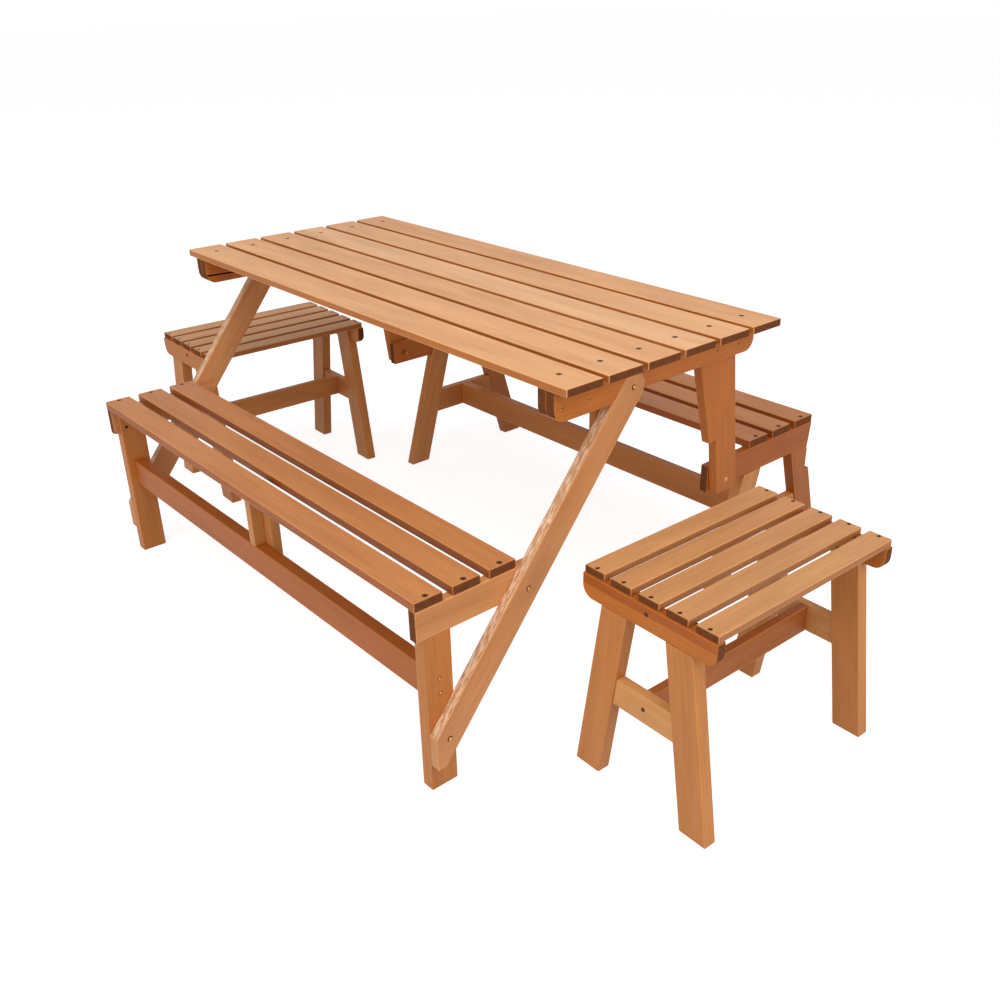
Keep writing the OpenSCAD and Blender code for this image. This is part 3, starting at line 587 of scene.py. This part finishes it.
def stained_steel_and_rim_shade(name, colour):
    """Steel that the stain ran over: dark and dull, with a little bare metal in patches; it also serves as
    painted shade on the rims of domed heads.
    """
    material, tree, shader = new_material(name)
    place = add(tree, "ShaderNodeTexCoord").outputs["Object"]
    pattern = {"Vector": place, "Scale": 1 / STAIN_CLOUD, "Detail": 4}
    cloud = add(tree, "ShaderNodeTexNoise", pattern).outputs["Fac"]
    face = mixed(tree, cloud, *(shade(colour, part) for part in STAINED_SHADES))
    tree.links.new(face, shader.inputs["Base Color"])
    rough = add(
        tree, "ShaderNodeMapRange", between(cloud, NOISE_LOW, NOISE_HIGH, *STAINED_ROUGHNESS)
    ).outputs[0]
    tree.links.new(rough, shader.inputs["Roughness"])
    shader.inputs["Metallic"].default_value = BARE_METAL
    return material


def finish_of(name, make, colour):
    """The material of that name, made the first time it is asked for."""
    return bpy.data.materials.get(name) or make(name, colour)


# Shaping of the boards


def merged_copy(node, ending):
    """A copy of a CAD node with its loose triangles merged into faces. It is left selected and active."""
    bpy.ops.object.select_all(action="DESELECT")
    piece = bpy.data.objects.new(node + ending, frame["nodes"][node].data.copy())
    bpy.context.scene.collection.objects.link(piece)
    piece.data.name = piece.name
    piece.data.materials.clear()
    piece.select_set(True)
    bpy.context.view_layer.objects.active = piece
    bpy.ops.object.mode_set(mode="EDIT")
    bpy.ops.mesh.select_all(action="SELECT")
    bpy.ops.mesh.remove_doubles(threshold=MERGE_DISTANCE)
    bpy.ops.mesh.dissolve_limited(angle_limit=FLAT)
    bpy.ops.mesh.select_all(action="DESELECT")
    bpy.ops.object.mode_set(mode="OBJECT")
    return piece


def select_corners(piece):
    """Selects the outer corners of the boards, and none of the edges of their holes."""
    shape = bmesh.new()
    shape.from_mesh(piece.data)
    for edge in shape.edges:
        corner = len(edge.link_faces) == 2 and edge.calc_face_angle_signed(0) > SHARP
        edge.select_set(corner and edge.calc_length() > SHORTEST_EASED_EDGE)
    shape.to_mesh(piece.data)
    shape.free()


def ease(piece):
    """Rounds the selected corners, and marks the faces that this makes, which come in their own slot."""
    work = bpy.context.scene.picnic_work
    select_corners(piece)
    bpy.ops.object.mode_set(mode="EDIT")
    bpy.ops.mesh.select_mode(type="EDGE")
    bpy.ops.mesh.bevel(
        offset=work.easing,
        segments=work.easing_steps,
        profile=0.5,
        affect="EDGES",
        clamp_overlap=True,
        material=EASED_SLOT,
    )
    bpy.ops.mesh.select_mode(type="FACE")
    bpy.ops.object.mode_set(mode="OBJECT")
    marks = [float(polygon.material_index == EASED_SLOT) for polygon in piece.data.polygons]
    eased = piece.data.attributes.new("eased", "FLOAT", "FACE")
    eased.data.foreach_set("value", marks)


def band_height(node):
    """The height at which the upper band of a rail begins."""
    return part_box(node)[1].z - TWO_BANDS[node]


def part_faces(piece, height):
    """Cuts the faces of a board at a height, so that its two bands can be coloured apart."""
    shape = bmesh.new()
    shape.from_mesh(piece.data)
    everything = [*shape.verts, *shape.edges, *shape.faces]
    bmesh.ops.bisect_plane(shape, geom=everything, plane_co=(0, 0, height), plane_no=(0, 0, 1))
    shape.to_mesh(piece.data)
    shape.free()


def loose_parts(shape):
    """The separate boards or screws of a mesh, as lists of faces."""
    found = []
    seen = set()
    for start in shape.faces:
        if start in seen:
            continue
        part = []
        waiting = [start]
        seen.add(start)
        while waiting:
            face = waiting.pop()
            part.append(face)
            for edge in face.edges:
                for other in edge.link_faces:
                    if other not in seen:
                        seen.add(other)
                        waiting.append(other)
        found.append(part)
    return found


def board_axes(board):
    """Directions along, through and across a board: its longest edge, its broadest face, and the third."""
    edges = {edge for face in board for edge in face.edges if edge.calc_face_angle(0) > BOARD_EDGE}
    longest = max(edges, key=lambda edge: edge.calc_length())
    along = (longest.verts[1].co - longest.verts[0].co).normalized()
    if along[max(range(3), key=lambda i: abs(along[i]))] < 0:
        along.negate()
    sides = [face for face in board if abs(face.normal.dot(along)) < ACROSS]
    through = max(sides, key=lambda face: face.calc_area()).normal.copy()
    return along, through, along.cross(through)


def amount_for(node, table, otherwise=0):
    """The amount that the table holds for the first way in it that the node's name begins."""
    return next((amount for start, amount in table.items() if node.startswith(start)), otherwise)


def lay_grain(piece, node, dice):
    """Gives each board its own grain: the place in the log it was sawn from, and its tone: how it took the
    stain, with painted shade on the narrow sides of slats and painted light on boards in shade.
    """
    shape = bmesh.new()
    shape.from_mesh(piece.data)
    grain = shape.verts.layers.float_vector.new("grain")
    place = shape.verts.layers.float_vector.new("place")
    reach = shape.faces.layers.float.new("screw_reach")
    tone = shape.verts.layers.float.new("tone")
    # The face's tone: its own stain, with painted shade and painted light added
    stain = shape.faces.layers.float.new("stain")
    sawn = shape.faces.layers.float.new("sawn")
    eased = shape.faces.layers.float["eased"]
    for board in loose_parts(shape):
        along, through, across = board_axes(board)
        corners = {vertex for face in board for vertex in face.verts}
        middle = sum((vertex.co for vertex in corners), Vector()) / len(corners)
        start = dice.uniform(0, LOG_LENGTH)
        heart_depth = dice.uniform(*HEART_DEPTH) * dice.choice((-1, 1))
        heart_aside = dice.uniform(-HEART_ASIDE, HEART_ASIDE)
        own_tone = dice.random()
        # The board's tone: its own stain, and painted light that lifts a board lying in shade
        board_stain_and_painted_light = amount_for(node, OWN_STAIN_AND_PAINTED_LIGHT) + STAIN_SPREAD * (own_tone - 0.5)
        for vertex in corners:
            offset = vertex.co - middle
            x, y, z = (offset.dot(direction) for direction in (along, through, across))
            vertex[place] = (x, y, z)
            vertex[grain] = (start + x, y + heart_depth, z + heart_aside)
            vertex[tone] = own_tone
        for face in board:
            face.material_index = END_SLOT if abs(face.normal.dot(along)) > ALONG else FACE_SLOT
            narrow = abs(face.normal.dot(across)) > ALONG and not face[eased]
            face[reach] = amount_for(node, SLAT_SCREWS, NO_SCREWS)
            face[sawn] = float(narrow and node.startswith("brace"))
            face[stain] = board_stain_and_painted_light - SAWN_STAIN * face[sawn]
            # Painted shade on the narrow sides of slats, in the gaps between them
            if narrow and "slat" in node:
                face[stain] += amount_for(node, PAINTED_GAP_SHADE)
            # The upper band of such a rail is made darker than the rest
            if node in TWO_BANDS and face.calc_center_median().z > band_height(node):
                face[stain] += UPPER_BAND_DARKER
    shape.to_mesh(piece.data)
    shape.free()


def smooth_faces(piece):
    """Smooth shading that keeps the broad faces flat."""
    bpy.ops.object.shade_smooth_by_angle(angle=BOARD_CREASE)
    modifier = piece.modifiers.new("Flat faces", "WEIGHTED_NORMAL")
    modifier.keep_sharp = True
    modifier.weight = BROAD_FACES
    bpy.ops.object.modifier_apply(modifier=modifier.name)


def dress_board(node, material, dice):
    """An eased and grained copy of a wooden CAD node, in its place."""
    piece = merged_copy(node, "_board")
    colour = bpy.context.scene.picnic_colours.end_grain
    end_grain = finish_of("Fir, end grain, stained", end_grain_wood, colour)
    for finish in (material, end_grain, material):
        piece.data.materials.append(finish)
    ease(piece)
    if node in TWO_BANDS:
        part_faces(piece, band_height(node))
    lay_grain(piece, node, dice)
    piece.data.materials.pop(index=EASED_SLOT)
    smooth_faces(piece)
    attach(piece, BODY_OF[node])
    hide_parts(node)


def dress_boards(starts, material, seed):
    """Dresses all boards whose names begin in one of these ways, with the same dice."""
    dice = random.Random(seed)
    nodes = [
        node
        for node in sorted(frame["nodes"])
        if node.startswith(starts) and not node.endswith(FASTENERS)
    ]
    if not nodes:
        raise RuntimeError(f"No board's name begins with {starts}")
    for node in nodes:
        dress_board(node, material, dice)


# Screws and bolts


def head_slot(node, face, upright):
    """The slot of a face of a screw or bolt: bare plating where it looks outward, else dark stain, which on
    the rim of a domed head is painted shade.
    """
    outward = math.copysign(1, face.calc_center_median().x - TABLE_MIDDLE)
    slope = face.normal.x * outward
    if node == "rear_pivot_bolts" and slope < -RIM_SLOPE:
        return RAIL_STAINED_SLOT
    # A domed head keeps bare plating only where it looks outward; its rim takes the dark finish as painted
    # shade
    bare = slope > RIM_SLOPE and not upright and node not in STAINED_OVER
    return PLATED_SLOT if bare else STAIN_AND_RIM_SHADE_SLOT


def dress_fastener(node):
    """A merged copy of screws or bolts, with plated domed heads, painted shade on their rims, and
    stained-over sunk ones.
    """
    colours = bpy.context.scene.picnic_colours
    piece = merged_copy(node, "_metal")
    for name, make, colour in (
        ("Steel, yellow-passivated", passivated_steel, colours.passivated),
        ("Steel, stained over", stained_steel_and_rim_shade, colours.sunk_head_and_rim_shade),
        ("Steel, stained like the rails", stained_steel_and_rim_shade, colours.rails),
    ):
        piece.data.materials.append(finish_of(name, make, colour))
    shape = bmesh.new()
    shape.from_mesh(piece.data)
    for screw in loose_parts(shape):
        heights = [vertex.co.z for face in screw for vertex in face.verts]
        upright = max(heights) - min(heights) > UPRIGHT_SCREW
        for face in screw:
            face.material_index = head_slot(node, face, upright)
    shape.to_mesh(piece.data)
    shape.free()
    bpy.ops.object.shade_smooth_by_angle(angle=HEAD_CREASE)
    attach(piece, BODY_OF[node])
    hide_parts(node)


# Steps


class PICNIC_OT_table_slats(Operator):
    """Eases and grains the six slats of the table top"""

    bl_idname = "picnic.table_slats"
    bl_label = "Table slats"

    def execute(self, context):
        colours = context.scene.picnic_colours
        wood = finish_of("Fir, planed, light stain", stained_wood, colours.table_slats)
        dress_boards("top_slat", wood, seed=3)
        return {"FINISHED"}


class PICNIC_OT_table_frame(Operator):
    """Eases and grains the table's rails, stop blocks and hangers"""

    bl_idname = "picnic.table_frame"
    bl_label = "Table frame"

    def execute(self, context):
        colours = context.scene.picnic_colours
        wood = finish_of("Fir, planed, deep stain", stained_wood, colours.rails)
        dress_boards(("top_rail", "stop_block", "hanger"), wood, seed=5)
        return {"FINISHED"}


class PICNIC_OT_bench_slats(Operator):
    """Eases and grains the seat slats of the two benches"""

    bl_idname = "picnic.bench_slats"
    bl_label = "Bench slats"

    def execute(self, context):
        colours = context.scene.picnic_colours
        wood = finish_of("Fir, planed, middle stain", stained_wood, colours.seat_slats)
        dress_boards(("front_seat_slat", "rear_seat_slat"), wood, seed=7)
        return {"FINISHED"}


class PICNIC_OT_braces(Operator):
    """Eases and grains the two braces that carry the table"""

    bl_idname = "picnic.braces"
    bl_label = "Braces"

    def execute(self, context):
        colours = context.scene.picnic_colours
        wood = finish_of("Fir, planed, pale stain", stained_wood, colours.braces)
        dress_boards("brace", wood, seed=11)
        return {"FINISHED"}


class PICNIC_OT_bench_frames(Operator):
    """Eases and grains the rails, legs, stretchers and centre boards of the two benches"""

    bl_idname = "picnic.bench_frames"
    bl_label = "Bench frames"

    def execute(self, context):
        colours = context.scene.picnic_colours
        rails = finish_of("Fir, planed, deep stain", stained_wood, colours.rails)
        legs = finish_of("Fir, sawn and planed, even stain", stained_wood, colours.legs)
        pale = finish_of("Fir, planed, pale stain", stained_wood, colours.braces)
        dress_boards("front_rail", pale, seed=13)
        dress_boards("rear_rail", rails, seed=14)
        dress_boards("front_stretcher", rails, seed=15)
        starts = [
            bench + part
            for bench in ("front_", "rear_")
            for part in ("leg", "inner_leg", "outer_leg", "cross_stretcher", "long_stretcher", "centre")
        ]
        dress_boards(tuple(starts), legs, seed=17)
        return {"FINISHED"}


class PICNIC_OT_stools(Operator):
    """Eases and grains the two loose stools"""

    bl_idname = "picnic.stools"
    bl_label = "Stools"

    def execute(self, context):
        colours = context.scene.picnic_colours
        slats = finish_of("Fir, planed, clear stain", stained_wood, colours.stool_slats)
        rails = finish_of("Fir, planed, deep stain", stained_wood, colours.rails)
        legs = finish_of("Fir, sawn and planed, even stain", stained_wood, colours.legs)
        for stool, seed in (("right_stool_", 19), ("left_stool_", 23)):
            dress_boards(stool + "slats", slats, seed)
            dress_boards(stool + "rail", rails, seed + 1)
            dress_boards((stool + "legs", stool + "cross", stool + "long"), legs, seed + 2)
        return {"FINISHED"}


class PICNIC_OT_fasteners(Operator):
    """Finishes the screws and the pivot bolts"""

    bl_idname = "picnic.fasteners"
    bl_label = "Screws and bolts"

    def execute(self, context):
        for node in sorted(frame["nodes"]):
            if node.endswith(FASTENERS):
                dress_fastener(node)
        return {"FINISHED"}


# Stage


def seen_directly(tree):
    """One where the camera, a gloss or a glass sees the surface, else zero."""
    rays = add(tree, "ShaderNodeLightPath").outputs
    seen = rays["Is Camera Ray"]
    for ray in ("Is Glossy Ray", "Is Transmission Ray"):
        seen = add(tree, "ShaderNodeMath", {0: seen, 1: rays[ray]}, operation="MAXIMUM").outputs[0]
    return seen


def white_floor():
    """Matt white floor paint, with a glow where it is looked at, so that only the shadows show on it."""
    material, tree, shader = new_material("Floor paint, matt white")
    shader.inputs["Base Color"].default_value = (FLOOR_PAINT, FLOOR_PAINT, FLOOR_PAINT, 1)
    shader.inputs["Roughness"].default_value = FLOOR_ROUGHNESS
    shader.inputs["Specular IOR Level"].default_value = 0
    shader.inputs["Emission Color"].default_value = (1, 1, 1, 1)
    glow = add(tree, "ShaderNodeMath", {0: seen_directly(tree), 1: FLOOR_GLOW}, operation="MULTIPLY")
    tree.links.new(glow.outputs[0], shader.inputs["Emission Strength"])
    return material


def even_sky(strength):
    """A white world that lights evenly at a strength, and is plain white where it is looked at."""
    world = bpy.data.worlds.new("Even sky")
    world.use_nodes = True
    tree = world.node_tree
    tree.nodes.clear()
    seen = add(tree, "ShaderNodeMapRange", between(seen_directly(tree), 0, 1, strength, 1)).outputs[0]
    sky = add(tree, "ShaderNodeBackground", {"Color": (1, 1, 1, 1), "Strength": seen})
    add(tree, "ShaderNodeOutputWorld", {"Surface": sky.outputs["Background"]})
    return world


def soft_lamp(name, place, aim, size, power):
    """A square soft lamp that shines from a place to its aim."""
    data = bpy.data.lights.new(name, "AREA")
    data.shape = "SQUARE"
    data.size = size
    data.energy = power
    lamp = bpy.data.objects.new(name, data)
    lamp.location = place
    lamp.rotation_euler = (Vector(aim) - Vector(place)).to_track_quat("-Z", "Y").to_euler()
    bpy.context.scene.collection.objects.link(lamp)


def placed_camera(stage):
    """The camera, placed from the table's left front corner."""
    data = bpy.data.cameras.new("Camera")
    data.lens = stage.focal
    data.sensor_width = SENSOR_WIDTH
    data.shift_x, data.shift_y = stage.shift
    data.clip_end = FARTHEST_SEEN
    camera = bpy.data.objects.new("Camera", data)
    camera.location = TABLE_CORNER + Vector(stage.eye)
    camera.rotation_euler = tuple(stage.turn)
    bpy.context.scene.collection.objects.link(camera)
    return camera


class PICNIC_OT_stage(Operator):
    """Adds the floor, the lamps, the sky and the camera"""

    bl_idname = "picnic.stage"
    bl_label = "Stage"

    def execute(self, context):
        scene = context.scene
        stage = scene.picnic_stage
        bpy.ops.object.select_all(action="DESELECT")
        bpy.ops.mesh.primitive_plane_add(size=FLOOR_SIZE, location=(0, 0, 0))
        floor = context.active_object
        floor.name = "Floor"
        floor.data.materials.append(white_floor())
        scene.world = even_sky(stage.sky)
        for name, power, place, aim, size in LAMPS:
            soft_lamp(name, place, aim, size, getattr(stage, power))
        scene.camera = placed_camera(stage)
        scene.view_settings.view_transform = "Standard"
        return {"FINISHED"}


# Add-on


STEPS = (
    PICNIC_OT_table_slats,
    PICNIC_OT_table_frame,
    PICNIC_OT_bench_slats,
    PICNIC_OT_braces,
    PICNIC_OT_bench_frames,
    PICNIC_OT_stools,
    PICNIC_OT_fasteners,
    PICNIC_OT_stage,
)
GROUPS = {"picnic_work": PicnicWork, "picnic_colours": PicnicColours, "picnic_stage": PicnicStage}


class PICNIC_PT_panel(Panel):
    """Lists the sizes, the colours and the steps"""

    bl_idname = "PICNIC_PT_panel"
    bl_label = "Picnic Table"
    bl_space_type = "VIEW_3D"
    bl_region_type = "UI"
    bl_category = "Picnic Table"

    def draw(self, context):
        scene = context.scene
        for title, group in (
            ("Work", scene.picnic_work),
            ("Colours", scene.picnic_colours),
            ("Stage", scene.picnic_stage),
        ):
            box = self.layout.box()
            box.label(text=title)
            for name in group.__annotations__:
                box.prop(group, name)
        for step in STEPS:
            self.layout.operator(step.bl_idname)


CLASSES = (*GROUPS.values(), *STEPS, PICNIC_PT_panel)


def register():
    for item in CLASSES:
        bpy.utils.register_class(item)
    for name, group in GROUPS.items():
        setattr(bpy.types.Scene, name, PointerProperty(type=group))


def unregister():
    for name in GROUPS:
        delattr(bpy.types.Scene, name)
    for item in reversed(CLASSES):
        bpy.utils.unregister_class(item)


def main():
    register()
    bpy.ops.picnic.table_slats()
    bpy.ops.picnic.table_frame()
    bpy.ops.picnic.bench_slats()
    bpy.ops.picnic.braces()
    bpy.ops.picnic.bench_frames()
    bpy.ops.picnic.stools()
    bpy.ops.picnic.fasteners()
    bpy.ops.picnic.stage()


if __name__ == "__main__":
    main()
